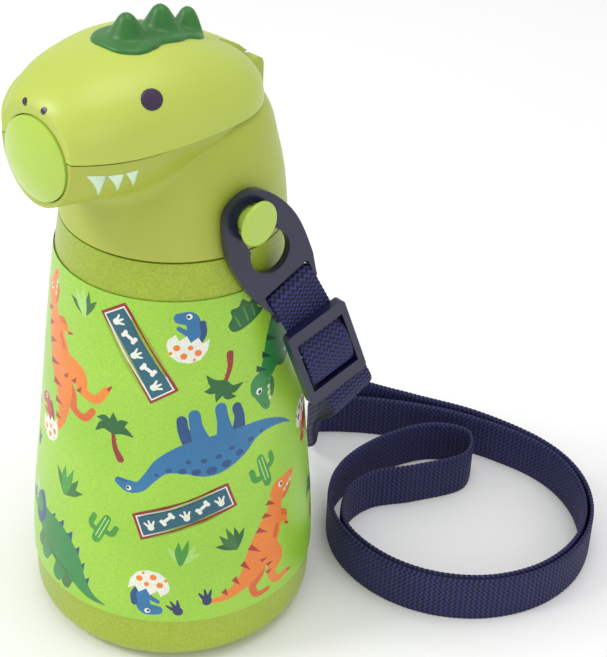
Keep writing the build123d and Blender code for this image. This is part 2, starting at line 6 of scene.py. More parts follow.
import bmesh
import bpy
import numpy as np
from mathutils import Matrix, Vector
from mathutils.bvhtree import BVHTree
from mathutils.geometry import delaunay_2d_cdt


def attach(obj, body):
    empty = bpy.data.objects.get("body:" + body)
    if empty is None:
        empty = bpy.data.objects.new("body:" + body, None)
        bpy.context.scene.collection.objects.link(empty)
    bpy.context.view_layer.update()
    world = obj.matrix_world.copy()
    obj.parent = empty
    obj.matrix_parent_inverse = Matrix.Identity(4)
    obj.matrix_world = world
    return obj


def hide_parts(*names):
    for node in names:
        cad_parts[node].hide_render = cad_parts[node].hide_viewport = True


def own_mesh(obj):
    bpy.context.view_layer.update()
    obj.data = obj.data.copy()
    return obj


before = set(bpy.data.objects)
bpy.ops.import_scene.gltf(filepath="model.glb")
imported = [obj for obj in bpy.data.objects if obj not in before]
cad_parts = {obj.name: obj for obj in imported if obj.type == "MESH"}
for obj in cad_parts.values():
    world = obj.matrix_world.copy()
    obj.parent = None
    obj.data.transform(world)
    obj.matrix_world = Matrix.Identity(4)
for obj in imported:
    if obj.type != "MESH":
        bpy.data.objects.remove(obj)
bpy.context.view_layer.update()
MM = 0.001


# ------------------------------------------------------------------ material helpers
def srgb(r, g, b):
    """0-255 display colour to the linear RGBA that nodes take."""
    def linear(c):
        c = c / 255
        return c / 12.92 if c <= 0.04045 else ((c + 0.055) / 1.055) ** 2.4
    return (linear(r), linear(g), linear(b), 1.0)


class Nodes:
    """Small helper round a material's node tree."""

    def __init__(self, name):
        self.material = bpy.data.materials.new(name)
        self.material.use_nodes = True
        self.tree = self.material.node_tree
        self.shader = self.tree.nodes["Principled BSDF"]

    def add(self, kind, **settings):
        """New node; each setting goes to the input of that name, or else to the node's own property."""
        node = self.tree.nodes.new(kind)
        for key, value in settings.items():
            if key in node.inputs:
                node.inputs[key].default_value = value
            else:
                setattr(node, key, value)
        return node

    def link(self, a, b):
        self.tree.links.new(a, b)

    def coords(self, kind="Object"):
        return self.add("ShaderNodeTexCoord").outputs[kind]

    def noise(self, scale, detail=3.0):
        node = self.add("ShaderNodeTexNoise", Scale=scale, Detail=detail)
        self.link(self.coords(), node.inputs["Vector"])
        return node.outputs["Fac"]

    def fill(self, socket, value):
        """Give a socket a link or a plain value."""
        if hasattr(value, "is_output"):
            self.link(value, socket)
        else:
            socket.default_value = value

    def ramp(self, fac, stops):
        node = self.add("ShaderNodeValToRGB")
        elements = node.color_ramp.elements
        while len(elements) < len(stops):
            elements.new(0.5)
        for element, (place, colour) in zip(elements, stops):
            element.position = place
            element.color = colour
        self.link(fac, node.inputs["Fac"])
        return node.outputs["Color"]

    def multiply_colours(self, a, b):
        node = self.add("ShaderNodeMix", data_type="RGBA", blend_type="MULTIPLY", Factor=1.0)
        self.fill(node.inputs["A"], a)
        self.fill(node.inputs["B"], b)
        return node.outputs["Result"]

    def math(self, operation, a, b=0.0):
        node = self.add("ShaderNodeMath", operation=operation)
        self.fill(node.inputs[0], a)
        self.fill(node.inputs[1], b)
        return node.outputs["Value"]

    def bump(self, height, strength, distance):
        node = self.add("ShaderNodeBump", Strength=strength, Distance=distance)
        self.link(height, node.inputs["Height"])
        self.link(node.outputs["Normal"], self.shader.inputs["Normal"])

    def set(self, **values):
        """Inputs of the main shader, named with underscores for spaces."""
        for key, value in values.items():
            self.fill(self.shader.inputs[key.replace("_", " ")], value)


def grey(level):
    """Neutral linear colour."""
    return (level, level, level, 1)


def moulded_plastic(name, light, dark, rough=0.42, coat=0.15, grain=900, scatter=0.0):
    """Satin moulded plastic: faint flow variation in colour and gloss, fine spark-eroded grain."""
    n = Nodes(name)
    flow = n.noise(28, 3)
    speck = n.noise(grain, 2)
    n.set(Base_Color=n.ramp(flow, [(0.32, dark), (0.68, light)]))
    n.set(Roughness=n.math("ADD", rough - 0.05, n.math("MULTIPLY", flow, 0.1)))
    n.set(Coat_Weight=coat, Coat_Roughness=0.28, IOR=1.48)
    if scatter:
        n.set(Subsurface_Weight=scatter, Subsurface_Radius=(0.002, 0.003, 0.001), Subsurface_Scale=1.0)
    n.bump(speck, 0.12, 0.00008)
    return n.material


def painted_steel(name, light, dark):
    """Powder-painted steel: fine orange peel and speckle."""
    n = Nodes(name)
    cloud = n.noise(22, 3)
    peel = n.noise(620, 4)
    tint = n.ramp(cloud, [(0.3, dark), (0.7, light)])
    fleck = n.ramp(n.noise(1500, 2), [(0.40, grey(0.88)), (0.62, grey(1.06))])
    n.set(Base_Color=n.multiply_colours(tint, fleck))
    n.set(Roughness=0.40, Coat_Weight=0.25, Coat_Roughness=0.22)
    n.bump(peel, 0.22, 0.00012)
    return n.material


def steel(name, rough=0.28, rings=True):
    """Stainless steel with fine turned or brushed lines."""
    n = Nodes(name)
    line = n.add("ShaderNodeTexWave", wave_type="RINGS" if rings else "BANDS", Scale=900.0, Distortion=1.2)
    if rings:
        line.rings_direction = "Z"
    n.link(n.coords(), line.inputs["Vector"])
    smudge = n.noise(45, 4)
    n.set(Base_Color=n.ramp(smudge, [(0.3, (0.48, 0.49, 0.50, 1)), (0.7, (0.62, 0.62, 0.62, 1))]))
    n.set(Metallic=1.0, Roughness=n.math("ADD", rough, n.math("MULTIPLY", smudge, 0.12)))
    n.bump(line.outputs["Fac"], 0.12, 0.00004)
    return n.material


def rubber(name, light, dark, rough=0.55):
    """Soft moulded rubber or silicone with a dusty sheen."""
    n = Nodes(name)
    cloud = n.noise(60, 4)
    n.set(Base_Color=n.ramp(cloud, [(0.3, dark), (0.7, light)]))
    n.set(Roughness=n.math("ADD", rough - 0.06, n.math("MULTIPLY", cloud, 0.12)))
    n.set(Sheen_Weight=0.12, Sheen_Roughness=0.5)
    n.set(Subsurface_Weight=0.12, Subsurface_Radius=(0.001, 0.002, 0.001), Subsurface_Scale=1.0)
    n.bump(n.noise(1100, 3), 0.15, 0.00008)
    return n.material


def film_ink(name, light, dark):
    """Printed ink on the film: halftone grain, slight cloud, and the film's light texture."""
    n = Nodes(name)
    tint = n.ramp(n.noise(34, 3), [(0.34, dark), (0.66, light)])
    speck = n.ramp(n.noise(2400, 1), [(0.38, grey(0.90)), (0.62, grey(1.05))])
    n.set(Base_Color=n.multiply_colours(tint, speck))
    n.set(Roughness=0.36, Coat_Weight=0.2, Coat_Roughness=0.25)
    n.bump(n.noise(700, 3), 0.10, 0.00006)
    return n.material


def woven(name, light, dark, rib, strands):
    """Webbing seen close: ribs across, two-ply herringbone strands, sheen along the yarn.
    Needs a UV map in metres: U along the strap, V across it."""
    n = Nodes(name)
    uv = n.add("ShaderNodeSeparateXYZ")
    n.link(n.coords("UV"), uv.inputs["Vector"])
    along = n.math("MULTIPLY", uv.outputs["X"], 2 * pi / rib)
    across = n.math("MULTIPLY", uv.outputs["Y"], 2 * pi / strands)
    sway = n.math("MULTIPLY", n.math("SINE", across), 1.5)
    twill = n.math("SINE", n.math("ADD", along, sway))
    cross = n.math("COSINE", across)
    height = n.math("ADD", n.math("MULTIPLY", twill, 0.75), n.math("MULTIPLY", cross, 0.12))
    height = n.math("ADD", height, n.math("MULTIPLY", n.noise(4200, 2), 0.5))
    lift = n.math("ADD", n.math("MULTIPLY", height, 0.5), 0.42)
    # base colour follows the weave's height: painted shade darkens the hollows between ribs and strands, painted
    # light brightens the rib tops
    n.set(Base_Color=n.ramp(lift, [(0.22, dark), (0.85, light)]))
    n.set(Roughness=0.62, Sheen_Weight=0.10, Sheen_Roughness=0.4)
    n.set(Sheen_Tint=light, Specular_IOR_Level=0.35)
    n.bump(height, 0.8, 0.00018)
    return n.material


def pad_paint(name, light, dark, rough):
    """Pad-printed paint on plastic: slight edge-to-edge cloud and a fine dry texture."""
    n = Nodes(name)
    cloud = n.noise(240, 3)
    n.set(Base_Color=n.ramp(cloud, [(0.3, dark), (0.7, light)]))
    n.set(Roughness=n.math("ADD", rough, n.math("MULTIPLY", cloud, 0.12)), Coat_Weight=0.2, Coat_Roughness=0.25)
    n.bump(n.noise(2200, 2), 0.12, 0.00005)
    return n.material


# ------------------------------------------------------------------ colours and materials
LID_GREEN = (srgb(188, 203, 84), srgb(180, 197, 76))
CAP_GREEN = (srgb(176, 188, 70), srgb(167, 181, 62))
BUTTON_GREEN = (srgb(180, 210, 84), srgb(172, 203, 72))
CREST_GREEN = (srgb(46, 120, 40), srgb(36, 106, 34))
NAVY = (srgb(24, 26, 62), srgb(18, 20, 52))
PAINT = (srgb(166, 188, 40), srgb(152, 175, 32))

lid_plastic = moulded_plastic("lid_plastic", *LID_GREEN, rough=0.40, scatter=0.04)
cap_plastic = moulded_plastic("cap_plastic", *CAP_GREEN, rough=0.44, scatter=0.04)
button_plastic = moulded_plastic("button_plastic", *BUTTON_GREEN, rough=0.30, coat=0.3)
strap_plastic = moulded_plastic("strap_plastic", *NAVY, rough=0.30, coat=0.35, grain=700)
inner_plastic = moulded_plastic("inner_plastic", srgb(232, 233, 226), srgb(222, 224, 216), rough=0.38)
spout_plastic = moulded_plastic("spout_plastic", srgb(214, 222, 216), srgb(204, 213, 207), rough=0.2, coat=0.4)
silicone = rubber("silicone", srgb(226, 228, 222), srgb(214, 217, 210))
crest_rubber = rubber("crest_rubber", *CREST_GREEN, rough=0.42)
body_paint = painted_steel("body_paint", *PAINT)
vessel_steel = steel("vessel_steel")
pin_steel = steel("pin_steel", rough=0.15, rings=False)
eye_paint = pad_paint("eye_paint", srgb(52, 30, 66), srgb(42, 24, 56), 0.26)
tooth_paint = pad_paint("tooth_paint", srgb(214, 236, 206), srgb(202, 228, 196), 0.4)
WEB_RIB = 1.6
WEB_STRANDS = 1.7
# the dark colour is painted shade for the weave's hollows, the light one painted light for the rib tops
webbing = woven("webbing", srgb(50, 52, 112), srgb(7, 8, 24), WEB_RIB * MM, WEB_STRANDS * MM)

NODE_LOOKS = {
    "outer_shell": body_paint, "base_disc": vessel_steel, "inner_vessel": vessel_steel,
    "cap_gasket": silicone, "jaw_shell": cap_plastic, "inner_cap": inner_plastic, "spout": spout_plastic,
    "strap_stud_left": button_plastic, "strap_stud_right": button_plastic, "hinge_pin": pin_steel,
    "lid_spring": pin_steel, "lid_shell": lid_plastic, "lid_liner": inner_plastic, "lid_plug": silicone,
    "snout_button": button_plastic, "button_spring": pin_steel, "strap_hook_left": strap_plastic,
    "strap_hook_right": strap_plastic, "strap_adjuster": strap_plastic, "spike_crest": crest_rubber,
    "adjuster_wrap": webbing, "strap_webbing": webbing, "print_wrap": body_paint,
}
for node, look in NODE_LOOKS.items():
    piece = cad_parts[node]
    piece.data.materials.clear()
    piece.data.materials.append(look)


# ------------------------------------------------------------------ flat drawing helpers (mm)
CURVE_STEPS = 5
THINNEST = 0.12


def curve_points(knots, closed=False):
    """Catmull-Rom through the knots (any dimension)."""
    knots = [np.array(k, float) for k in knots]
    count = len(knots)
    if closed:
        ring = [knots[-1], *knots, knots[0], knots[1]]
        spans = count
    else:
        ring = [2 * knots[0] - knots[1], *knots, 2 * knots[-1] - knots[-2]]
        spans = count - 1
    out = []
    for i in range(spans):
        a, b, c, d = ring[i:i + 4]
        for j in range(CURVE_STEPS):
            t = j / CURVE_STEPS
            out.append(0.5 * (2 * b + (c - a) * t + (2 * a - 5 * b + 4 * c - d) * t ** 2
                              + (3 * b - a - 3 * c + d) * t ** 3))
    if not closed:
        out.append(knots[-1])
    return out


def blob(*knots):
    """Closed smooth outline."""
    return [tuple(p) for p in curve_points(knots, closed=True)]


def oval(x, y, rx, ry=None, turn=0):
    """Ellipse round (x, y), turned by degrees; a circle when only one radius is given."""
    ry = ry or rx
    c, s = cos(radians(turn)), sin(radians(turn))
    ring = [(rx * cos(a * pi / 8), ry * sin(a * pi / 8)) for a in range(16)]
    return [(x + c * u - s * v, y + s * u + c * v) for u, v in ring]


def stroke(*knots):
    """Outline of a tapered brush stroke through knots of (x, y, half width)."""
    spine = curve_points(knots)
    left, right = [], []
    for i, (x, y, w) in enumerate(spine):
        w = max(w, THINNEST)
        ahead, behind = spine[min(i + 1, len(spine) - 1)], spine[max(i - 1, 0)]
        dx, dy = ahead[0] - behind[0], ahead[1] - behind[1]
        size = sqrt(dx * dx + dy * dy) or 1
        left.append((x - dy / size * w, y + dx / size * w))
        right.append((x + dy / size * w, y - dx / size * w))

    def rounded_end(end, first):
        x, y, w = end[0], end[1], max(end[2], THINNEST)
        start = atan2(first[1] - y, first[0] - x)
        return [(x + w * cos(start - k * pi / 5), y + w * sin(start - k * pi / 5)) for k in range(1, 5)]

    return left + rounded_end(spine[-1], left[-1]) + right[::-1] + rounded_end(spine[0], right[0])


# ------------------------------------------------------------------ the drawings on the film
def walker(skin, shade, stripe):
    """Upright two-legged dinosaur facing left, about 44 mm long."""
    parts = [
        (shade, stroke((8, -1, 4.2), (8.5, -6.5, 3.0), (11.5, -10.5, 1.5), (10.8, -14.6, 1.2), (6.6, -15.8, 1.0))),
        (shade, stroke((-5.4, 8.6, 1.4), (-8.2, 6.2, 1.0), (-8.0, 4.0, 0.6))),
        (skin, stroke((-7.4, 16.0, 2.5), (-4.6, 11.5, 3.4), (-0.4, 6.2, 5.3), (4.6, 0.8, 5.9), (10, -4.0, 4.1),
                      (16, -7.2, 2.4), (22, -8.4, 1.3), (27.5, -6.8, 0.2))),
        (skin, blob((-4.2, 15.6), (-5.0, 18.8), (-8.2, 20.2), (-11.4, 19.4), (-16.0, 18.4), (-17.4, 16.8),
                    (-16.2, 15.6), (-12.6, 15.2), (-8.8, 13.0))),
        (shade, blob((-14.8, 14.6), (-11.0, 13.6), (-8.4, 12.4), (-9.6, 11.6), (-13.4, 12.6))),
        ("ivory", [(-15.2, 15.6), (-14.0, 15.4), (-14.6, 14.2)]),
        ("ivory", [(-13.2, 15.3), (-12.0, 15.0), (-12.7, 13.9)]),
        ("ivory", [(-11.2, 14.8), (-10.0, 14.3), (-10.9, 13.3)]),
        ("ivory", oval(-9.6, 17.6, 1.1)),
        ("ink", oval(-9.9, 17.5, 0.6)),
        (stripe, oval(-15.6, 17.4, 0.35)),
        (shade, blob((-5.0, 8.6), (-2.6, 5.2), (0.6, 0.6), (2.6, -2.6), (1.0, -2.2), (-2.6, 2.0), (-5.0, 6.0))),
        (skin, stroke((3.4, -0.6, 4.9), (1.0, -6.4, 3.7), (3.6, -10.6, 1.8), (2.4, -15.0, 1.4), (-2.6, -16.2, 1.1))),
        (skin, stroke((-3.4, 7.4, 1.6), (-6.8, 4.8, 1.1), (-7.4, 2.2, 0.7))),
        (stripe, stroke((-3.2, -16.6, 0.5), (-4.6, -16.9, 0.3))),
        (stripe, stroke((-7.4, 2.2, 0.45), (-8.4, 1.0, 0.25))),
    ]
    # stripes down the back
    for x, y, dx, dy in ((-2.2, 15.2, -3.2, -2.6), (0.6, 11.8, -3.4, -2.2), (4.2, 8.4, -3.6, -3.0),
                         (8.4, 4.4, -3.2, -4.0), (12.4, 0.2, -2.0, -3.8), (16.4, -3.6, -1.2, -3.0),
                         (20.6, -6.2, -0.8, -2.2)):
        parts.append((stripe, [(x + 1.0, y + 0.2), (x - 0.9, y + 1.1), (x + dx, y + dy)]))
    # stripes down the near leg
    for x, y in ((2.6, -3.4), (1.0, -6.6), (2.0, -9.4)):
        parts.append((stripe, [(x + 3.8, y + 1.2), (x + 3.2, y - 0.6), (x + 0.8, y)]))
    return parts


def long_neck(skin, shade):
    """Four-legged dinosaur with a long neck facing left, about 52 mm long."""
    parts = [
        (shade, stroke((-4.6, -3, 2.5), (-6.4, -8, 1.7), (-6.6, -11.6, 1.6))),
        (shade, stroke((9.6, -3, 2.5), (10.6, -8, 1.7), (10.2, -11.4, 1.6))),
        (skin, stroke((-26.6, 8.2, 1.4), (-23.8, 9.6, 2.1), (-20.6, 9.4, 1.7), (-17.4, 6.2, 1.9), (-13.4, 2.6, 2.9),
                      (-7.0, 1.2, 5.0), (0.4, 1.8, 6.6), (8.0, 0.6, 5.4), (14.6, -1.0, 3.0), (20.6, -0.2, 1.7),
                      (26.4, 2.6, 0.8), (30.2, 5.8, 0.15))),
        (skin, stroke((-1.4, -2, 3.0), (-2.6, -8.2, 2.0), (-2.8, -12.8, 1.8))),
        (skin, stroke((5.6, -2, 3.2), (5.4, -8.2, 2.0), (5.2, -13.0, 1.8))),
        ("ivory", oval(-24.0, 10.2, 0.8)),
        ("ink", oval(-24.2, 10.1, 0.45)),
        (shade, stroke((-27.0, 7.4, 0.25), (-24.4, 7.9, 0.25))),
    ]
    for x, y, r in ((-12.0, 4.2, 0.9), (-8.2, 5.0, 1.2), (-4.4, 6.0, 1.4), (0.0, 6.6, 1.6), (4.6, 5.8, 1.5),
                    (9.0, 3.8, 1.3), (13.2, 1.2, 1.0), (-6.2, 2.2, 0.8), (-1.8, 2.8, 1.0), (2.6, 2.6, 1.0),
                    (6.8, 1.2, 0.9), (17.4, 0.4, 0.7), (-15.6, 5.6, 0.6)):
        parts.append((shade, oval(x, y, r, r * 0.8)))
    return parts


def horned(skin, shade, frill):
    """Sturdy four-legged dinosaur with back plates and a neck frill facing left, about 40 mm long."""
    parts = [
        (shade, stroke((-4.6, -4, 2.6), (-5.8, -9.4, 1.9))),
        (shade, stroke((10.0, -4, 2.6), (10.6, -9.2, 1.9))),
    ]
    for x, y, size in ((-4.6, 6.6, 3.0), (-0.4, 8.2, 3.4), (4.2, 8.2, 3.4), (8.8, 6.2, 3.0), (12.8, 3.2, 2.4),
                       (16.4, 0.2, 1.9)):
        parts.append((frill, [(x - size * 0.62, y - 1.8), (x + 0.3, y + size), (x + size * 0.7, y - 2.4)]))
    parts += [
        (skin, stroke((-12.0, 0.2, 4.0), (-6.0, 1.0, 5.6), (1.0, 1.8, 7.2), (8.0, 0.4, 6.0), (14.0, -2.4, 3.4),
                      (19.6, -4.2, 1.6), (25.0, -3.6, 0.2))),
        (skin, stroke((-1.4, -3, 3.2), (-1.8, -10.4, 2.2))),
        (skin, stroke((6.6, -3, 3.2), (6.4, -10.4, 2.2))),
        (frill, blob((-10.4, -5.0), (-8.2, -1.6), (-8.0, 2.2), (-9.8, 6.0), (-13.2, 8.4), (-15.4, 5.4),
                     (-16.2, 1.0), (-14.6, -3.4))),
        (skin, stroke((-14.0, 1.4, 3.8), (-17.8, -0.8, 3.0), (-21.6, -3.6, 1.5))),
        ("ivory", [(-17.4, 1.8), (-16.0, 2.6), (-20.6, 7.0)]),
        ("ivory", [(-20.8, -1.4), (-19.6, -0.4), (-22.6, 1.6)]),
        ("ivory", oval(-16.6, 0.4, 0.9)),
        ("ink", oval(-16.8, 0.3, 0.5)),
        (shade, blob((-6.0, -3.2), (1.0, -4.2), (8.0, -4.0), (12.6, -3.6), (8.0, -5.4), (1.0, -5.8))),
    ]
    return parts


def hatchling(skin, shade, dots):
    """Small dinosaur looking out of a broken egg, about 13 mm high."""
    shell = [(-5.2, -1.0), (-3.6, 0.8), (-2.4, -0.8), (-0.8, 1.0), (0.6, -0.8), (2.2, 0.9), (3.6, -0.7), (5.2, 0.8)]
    bowl = [(5.3, -2.4), (4.0, -5.2), (1.4, -6.6), (-1.4, -6.6), (-4.0, -5.2), (-5.3, -2.4)]
    return [
        (skin, stroke((1.0, -1.0, 2.6), (0.8, 2.8, 1.9), (-0.6, 5.6, 2.0), (-3.6, 5.4, 1.5))),
        (shade, stroke((2.6, 4.8, 0.9), (3.4, 2.2, 0.8), (3.0, -0.4, 0.5))),
        (skin, stroke((-0.6, 1.6, 0.8), (-3.2, 2.6, 0.6))),
        ("ivory", oval(-1.2, 6.3, 0.8)),
        ("ink", oval(-1.4, 6.2, 0.4)),
        ("ivory", shell + bowl),
        (dots, oval(-2.6, -2.8, 0.9)), (dots, oval(0.8, -2.2, 0.7)), (dots, oval(3.0, -3.4, 0.9)),
        (dots, oval(-0.4, -4.8, 0.9)), (dots, oval(-3.8, -4.6, 0.5)), (dots, oval(2.4, -5.4, 0.4)),
    ]


def palm():
    """Palm with a ringed trunk, about 17 mm high."""
    parts = [("brick", stroke((1.6, -8.0, 1.3), (0.2, -3.6, 0.9), (0.2, 1.4, 0.7)))]
    for x, y in ((1.0, -5.6), (0.2, -3.2), (0.2, -1.0)):
        parts.append(("rust", stroke((x - 0.8, y, 0.18), (x + 1.0, y + 0.3, 0.18))))
    for mx, my, ex, ey in ((-3.0, 4.0, -6.4, 1.4), (-2.0, 6.0, -5.2, 6.4), (0.8, 5.6, 1.0, 8.8), (3.4, 5.0, 5.8, 6.0),
                           (3.6, 2.8, 7.0, 0.6)):
        parts.append(("leaf", stroke((0.2, 1.4, 0.5), (mx, my, 1.5), (ex, ey, 0.2))))
    return parts


def tuft(ink, glow):
    """Clump of pointed leaves."""
    return [(ink, stroke((-0.6, -3.4, 0.5), (-3.0, -0.6, 1.0), (-5.4, 1.4, 0.1))),
            (ink, stroke((0.6, -3.4, 0.5), (3.0, -0.8, 1.0), (5.4, 1.2, 0.1))),
            (glow, stroke((-0.4, -3.4, 0.6), (-1.8, 0.6, 1.1), (-2.6, 4.2, 0.1))),
            (ink, stroke((0.4, -3.4, 0.6), (2.0, 0.4, 1.0), (2.8, 3.8, 0.1))),
            (glow, stroke((0, -3.6, 0.7), (0.2, 0.8, 1.1), (0.3, 5.4, 0.1)))]


def cactus():
    """Cactus with two arms, about 10 mm high."""
    return [("fern", stroke((0, -5, 1.7), (0, 0, 1.9), (0, 5, 1.5))),
            ("fern", stroke((-0.6, -1.8, 1.0), (-4.0, -1.2, 1.1), (-4.4, 2.6, 1.1))),
            ("fern", stroke((0.6, 0, 1.0), (3.8, 0.6, 1.1), (4.2, 3.8, 1.0))),
            ("mint", stroke((-0.6, -4, 0.22), (-0.6, 5, 0.22))), ("mint", stroke((0.7, -4, 0.22), (0.7, 5, 0.22)))]


def bush():
    """Low bush with veins."""
    return [("leaf", blob((-5, -3), (-6, 0), (-4, 1.8), (-3.4, 4.2), (-0.6, 3.8), (1.4, 5.2), (3.0, 3.0), (5.4, 2.4),
                          (5.2, -0.8), (6.2, -3), (0, -3.8))),
            ("fern", stroke((-2.6, -2.4, 0.3), (-3.0, 1.6, 0.2))),
            ("fern", stroke((0.4, -2.4, 0.3), (0.6, 2.8, 0.2))),
            ("fern", stroke((3.0, -2.4, 0.3), (3.4, 1.2, 0.2)))]


def footprint():
    """Three-toed footprint."""
    return [("navy", oval(0, -1.2, 1.6, 1.9)), ("navy", stroke((-1.0, 0.4, 0.7), (-2.0, 2.6, 0.3))),
            ("navy", stroke((0, 0.6, 0.7), (0, 3.4, 0.3))), ("navy", stroke((1.0, 0.4, 0.7), (2.0, 2.6, 0.3)))]


def plate():
    """Sign-board with a row of footprints and bones, 29 mm wide."""
    def board(w, h):
        return [(-w, -h), (w, -h), (w, h), (-w, h)]

    parts = [("brick", board(14.4, 4.3)), ("ivory", board(13.6, 3.5)), ("teal", board(13.2, 3.1))]
    for k in range(5):
        x, lift = -10.4 + 5.2 * k, 0.5 if k % 2 else -0.5
        if k % 2:
            parts += [("ivory", stroke((x - 1.5, lift - 0.7, 0.5), (x + 1.5, lift + 0.7, 0.5))),
                      ("ivory", oval(x - 1.7, lift - 0.2, 0.6)), ("ivory", oval(x - 1.2, lift - 1.3, 0.6)),
                      ("ivory", oval(x + 1.7, lift + 0.2, 0.6)), ("ivory", oval(x + 1.2, lift + 1.3, 0.6))]
        else:
            parts += [("ivory", oval(x, lift - 0.5, 0.95)), ("ivory", stroke((x, lift, 0.4), (x, lift + 1.8, 0.25))),
                      ("ivory", stroke((x - 0.5, lift, 0.4), (x - 1.4, lift + 1.3, 0.25))),
                      ("ivory", stroke((x + 0.5, lift, 0.4), (x + 1.4, lift + 1.3, 0.25)))]
    return parts


def placed(parts, bearing, height, turn=0.0, size=1.0, flip=False):
    """A drawing and its place: bearing in degrees from the face towards its left side, height in mm,
    turn in degrees, size, and whether it is mirrored."""
    return (parts, bearing, height, turn, size, flip)


# the drawings on half of the bottle; the other half carries them again
PRINT_HALF = [
    placed(walker("orange", "amber", "rust"), -9, 95, 66, 0.98, True),
    placed(walker("green", "moss", "deep"), 108, 102, -252, 0.96, False),
    placed(walker("orange", "amber", "rust"), 90, 36, 14, 0.92, True),
    placed(long_neck("blue", "ocean"), 61, 74, 186, 0.96, True),
    placed(horned("green", "moss", "ocean"), -10, 32, -24, 0.94),
    placed(plate(), 30, 104, -59),
    placed(plate(), 51, 54, 18),
    placed(hatchling("blue", "ocean", "orange"), 53, 109, -12, 1.05),
    placed(hatchling("red", "brick", "orange"), -21, 70, 20, 1.0),
    placed(hatchling("red", "brick", "rust"), 121, 67, 200, 1.0, True),
    placed(hatchling("blue", "ocean", "orange"), 36, 28, 168, 1.1),
    placed(palm(), 70, 96, 160, 0.85), placed(palm(), 20, 77, 8, 0.85), placed(palm(), 126, 36, -14, 0.9),
    placed(bush(), 80, 113, 20, 0.9), placed(tuft("moss", "mint"), 1, 114, 12, 0.9),
    placed(tuft("moss", "fern"), -3, 55, -18, 1.1), placed(tuft("leaf", "moss"), 70, 43, 24, 0.9),
    placed(tuft("mint", "fern"), 50, 41, -14, 0.9), placed(cactus(), 87, 62, 16, 0.9),
    placed(cactus(), 16, 46, -24, 0.85), placed(footprint(), 47, 22, 30, 0.9), placed(footprint(), 59, 25, 10, 0.9),
    placed(tuft("mint", "fern"), 138, 92, 20, 1.0), placed(footprint(), 140, 68, -30, 0.9),
    placed(footprint(), 147, 58, -10, 0.9),
]

INKS = {
    "ground": (srgb(162, 212, 62), srgb(152, 205, 54)),
    "orange": (srgb(240, 138, 40), srgb(233, 124, 32)), "amber": (srgb(222, 106, 28), srgb(212, 94, 24)),
    "rust": (srgb(176, 52, 32), srgb(164, 44, 28)), "red": (srgb(198, 58, 44), srgb(188, 50, 40)),
    "brick": (srgb(150, 44, 40), srgb(140, 38, 36)), "green": (srgb(48, 142, 70), srgb(40, 130, 62)),
    "moss": (srgb(58, 120, 52), srgb(50, 110, 46)), "deep": (srgb(18, 84, 46), srgb(14, 74, 40)),
    "leaf": (srgb(28, 104, 42), srgb(22, 94, 36)), "fern": (srgb(70, 156, 56), srgb(60, 146, 48)),
    "mint": (srgb(176, 222, 120), srgb(166, 214, 108)), "blue": (srgb(38, 118, 168), srgb(32, 106, 158)),
    "ocean": (srgb(26, 76, 130), srgb(22, 68, 120)), "navy": (srgb(34, 54, 100), srgb(28, 46, 90)),
    "teal": (srgb(28, 98, 118), srgb(22, 88, 108)), "ivory": (srgb(240, 240, 226), srgb(230, 232, 216)),
    "ink": (srgb(26, 26, 40), srgb(20, 20, 34)),
}
INK_NAMES = list(INKS)


def wall_rows(node):
    """Outer radius of a turned CAD node against height, from its own vertices."""
    co = np.array([v.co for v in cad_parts[node].data.vertices])
    heights = np.round(co[:, 2], 5)
    rows = np.unique(heights)
    radii = np.array([np.hypot(co[heights == z, 0], co[heights == z, 1]).max() for z in rows])
    return rows, radii


def make_object(name, verts, faces, materials, face_slots=None):
    """Smooth-shaded mesh object in the scene."""
    mesh = bpy.data.meshes.new(name)
    mesh.from_pydata([tuple(v) for v in verts], [], [tuple(f) for f in faces])
    for material in materials:
        mesh.materials.append(material)
    if face_slots is not None:
        mesh.polygons.foreach_set("material_index", face_slots)
    mesh.shade_smooth()
    mesh.update()
    thing = bpy.data.objects.new(name, mesh)
    bpy.context.scene.collection.objects.link(thing)
    return thing


def winding(points, outline):
    """How often the closed outline goes round each point."""
    x, y = points[:, 0:1], points[:, 1:2]
    ends = np.array([*outline[1:], outline[0]], float)
    x0, y0 = np.array(outline, float).T
    x1, y1 = ends.T
    side = (x1 - x0) * (y - y0) - (x - x0) * (y1 - y0)
    return ((y0 <= y) & (y1 > y) & (side > 0)).sum(1) - ((y0 > y) & (y1 <= y) & (side < 0)).sum(1)


def triangulate(outlines, grid, border):
    """Delaunay triangles of the grid and outlines inside the border, and the topmost outline over each."""
    coords, edges = [], []
    for outline in [border, *outlines]:
        first, count = len(coords), len(outline)
        coords += [Vector(p) for p in outline]
        edges += [(first + i, first + (i + 1) % count) for i in range(count)]
    coords += [Vector(p) for p in grid]
    verts, _, tris, _, _, _ = delaunay_2d_cdt(coords, edges, [], 0, 1e-5, False)
    flat = np.array(verts)
    middles = flat[np.array(tris)].mean(1)
    inside = winding(middles, border) != 0
    owners = np.full(len(tris), -1)
    for index, outline in enumerate(outlines):
        low, high = np.min(outline, 0), np.max(outline, 0)
        near = np.flatnonzero(((middles > low) & (middles < high)).all(1) & inside)
        owners[near[winding(middles[near], outline) != 0]] = index
    kept = np.flatnonzero(inside)
    return verts, [tris[k] for k in kept], [int(owners[k]) for k in kept]


def closed_skin(verts2d, tris, top, bottom):
    """Verts and faces of a closed thin piece: the triangles lifted by top() and by bottom(), joined at the edge."""
    count = len(verts2d)
    verts = [top(v) for v in verts2d] + [bottom(v) for v in verts2d]
    faces = [tuple(t) for t in tris] + [tuple(i + count for i in reversed(t)) for t in tris]
    edges = dict.fromkeys(edge for t in tris for edge in zip(t, [*t[1:], t[0]]))
    faces += [(b, a, a + count, b + count) for a, b in edges if (b, a) not in edges]
    return verts, faces


# the film is drawn flat, rolled out at one radius, with its middle at this bearing and its seam opposite
FILM_RADIUS = 37.0
FILM_MIDDLE = radians(46)
FILM_TOP = 0.22
FILM_UNDERSIDE = 0.02
FILM_COLUMNS = 150
FILM_LEVELS = 42
SEAM_REACH = 0.9


